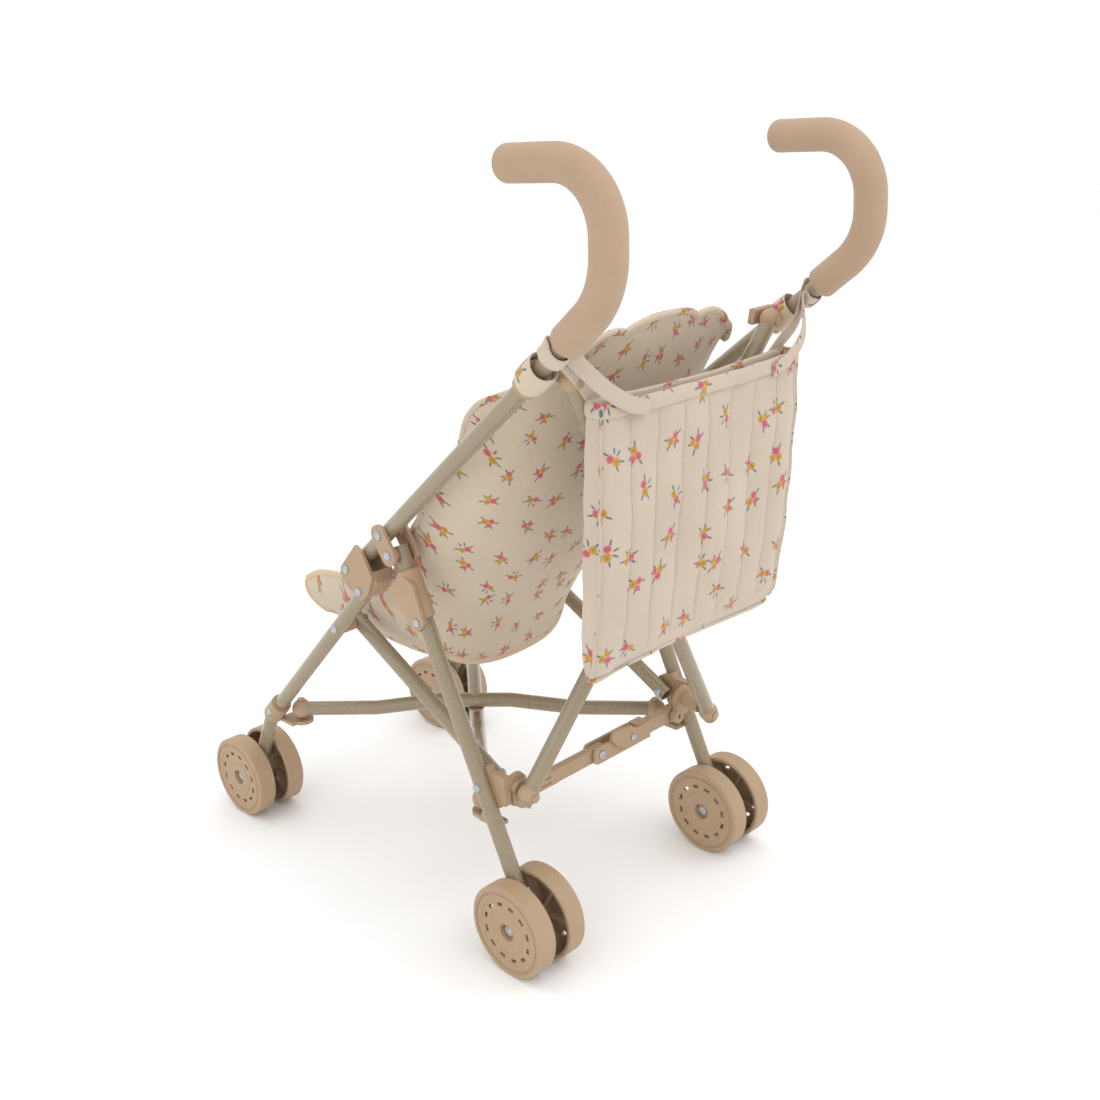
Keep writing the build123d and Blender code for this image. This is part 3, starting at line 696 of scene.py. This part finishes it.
def strap(side, node):
    """Strap from the bag's mouth, round the handle tube and back, and its length."""
    loop = [round_handle(STRAP_HEIGHT, math.radians(deg), STRAP_RADIUS) for deg in (250, 200, 150, 100, 50, 10)]
    start = [Vector((60, 202.6, 398)), Vector((78, 202.8, 404)), Vector((97, 200.0, 417))]
    end = [Vector((106, 188.5, 424)), Vector((92, 185.0, 410)), Vector((78, 183.0, 398))]
    if (loop[0] - start[-1]).length > (loop[-1] - start[-1]).length:
        loop.reverse()
    wide = []
    for i in range(STRAP_SAMPLES + 1):
        near = max(0.0, 1 - abs(i / STRAP_SAMPLES - 0.5) / 0.32)
        near = near * near * (3 - 2 * near)
        wide.append((Vector((-0.5, 0.1, 0.85)) * (1 - near) + HANDLE_DIR * near).normalized())
    pts = on_side(spline(start + loop + end, STRAP_SAMPLES), side)
    obj = oval_sweep(f"bag_loop_{side}", pts, on_side(wide, side), 5.1, 0.85, FLORAL_BAG_SHADED)
    return soft(obj, node), running_length(pts)[-1] * MM


loops = [strap("left", "bag_strap_left"), strap("right", "bag_strap_right")]


# ---------------------------------------------------------------- seat loops round the handle tubes
LOOP_HEIGHT, LOOP_POINTS = 424, 28


def seat_loop(side):
    angles = [2 * math.pi * k / LOOP_POINTS for k in range(LOOP_POINTS)]
    pts = on_side([round_handle(LOOP_HEIGHT, a, 9.4 + 0.4 * math.sin(3 * a)) for a in angles], side)
    wide = on_side([HANDLE_DIR] * LOOP_POINTS, side)
    return soft(oval_sweep(f"seat_loop_{side}", pts, wide, 9.5, 0.9, FLORAL, closed=True))


seat_pieces += [seat_loop("left"), seat_loop("right")]

# blank woven label near the front edge of the seat
label_rows = []
for i in range(5):
    src = base_rows[BASE_ROWS - 9 + i]
    label_rows.append([src[j] + Vector((0, 0.2, 1.9)) for j in range(5, 19)])
label = soft(grid_mesh("blank_label", label_rows, lambda i, j: (j * 0.0016, i * 0.0026), PLAIN, thickness=0.5,
                       offset=0.0))
seat_pieces.append(label)

for piece in [seat, base, bag] + seat_pieces + bag_extras + [l[0] for l in loops]:
    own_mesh(piece)


# ---------------------------------------------------------------- floor, light, camera
def studio():
    mesh = bpy.data.meshes.new("studio_floor")
    s = 6.0
    mesh.from_pydata([(-s, -s, 0), (s, -s, 0), (s, s, 0), (-s, s, 0)], [], [(0, 1, 2, 3)])
    floor = bpy.data.objects.new("studio_floor", mesh)
    bpy.context.scene.collection.objects.link(floor)
    g = Graph("studio_paper")
    p = g.coords()
    color = g.mix(g.noise(p, 6.0, 2.0), (0.93, 0.93, 0.93, 1), (0.96, 0.96, 0.96, 1))
    mesh.materials.append(g.finish(color, 0.95, Specular_IOR_Level=0.1))
    world = bpy.data.worlds.new("studio")
    bpy.context.scene.world = world
    world.use_nodes = True
    world.node_tree.nodes["Background"].inputs["Color"].default_value = (1, 1, 1, 1)
    world.node_tree.nodes["Background"].inputs["Strength"].default_value = 1.06


def area_light(name, place, aim, size, power):
    data = bpy.data.lights.new(name, "AREA")
    data.shape = "SQUARE"
    data.size = size
    data.energy = power
    obj = bpy.data.objects.new(name, data)
    obj.location = place
    obj.rotation_euler = (Vector(aim) - Vector(place)).to_track_quat("-Z", "Y").to_euler()
    bpy.context.scene.collection.objects.link(obj)


def camera():
    """The photograph's camera, as solved from its wheels, tubes and pivots."""
    azimuth, elevation, roll = math.radians(135.85), math.radians(19.4), math.radians(-2.59)
    level = math.cos(elevation)
    back = Vector((math.sin(azimuth) * level, -math.cos(azimuth) * level, math.sin(elevation)))
    right = (-back).cross(Vector((0, 0, 1))).normalized()
    up = right.cross(-back)
    r = right * math.cos(roll) + up * math.sin(roll)
    u = -right * math.sin(roll) + up * math.cos(roll)
    data = bpy.data.cameras.new("camera")
    data.sensor_width = 36.0
    data.lens = 43.464
    data.shift_x = 0.0012
    data.shift_y = -0.0013
    data.clip_start = 0.01
    obj = bpy.data.objects.new("camera", data)
    obj.matrix_world = Matrix((r, u, back)).transposed().to_4x4()
    obj.location = (0.6313, 0.7011, 0.5801)
    bpy.context.scene.collection.objects.link(obj)
    bpy.context.scene.camera = obj


studio()
area_light("key", (-0.6, 1.3, 2.2), (0, 0, 0.25), 1.8, 13)
area_light("fill", (2.0, 0.4, 1.2), (0, 0, 0.25), 1.6, 5)
area_light("top", (0.2, -0.4, 2.6), (0, 0, 0.2), 2.2, 7)
camera()
bpy.context.scene.view_settings.view_transform = "Standard"
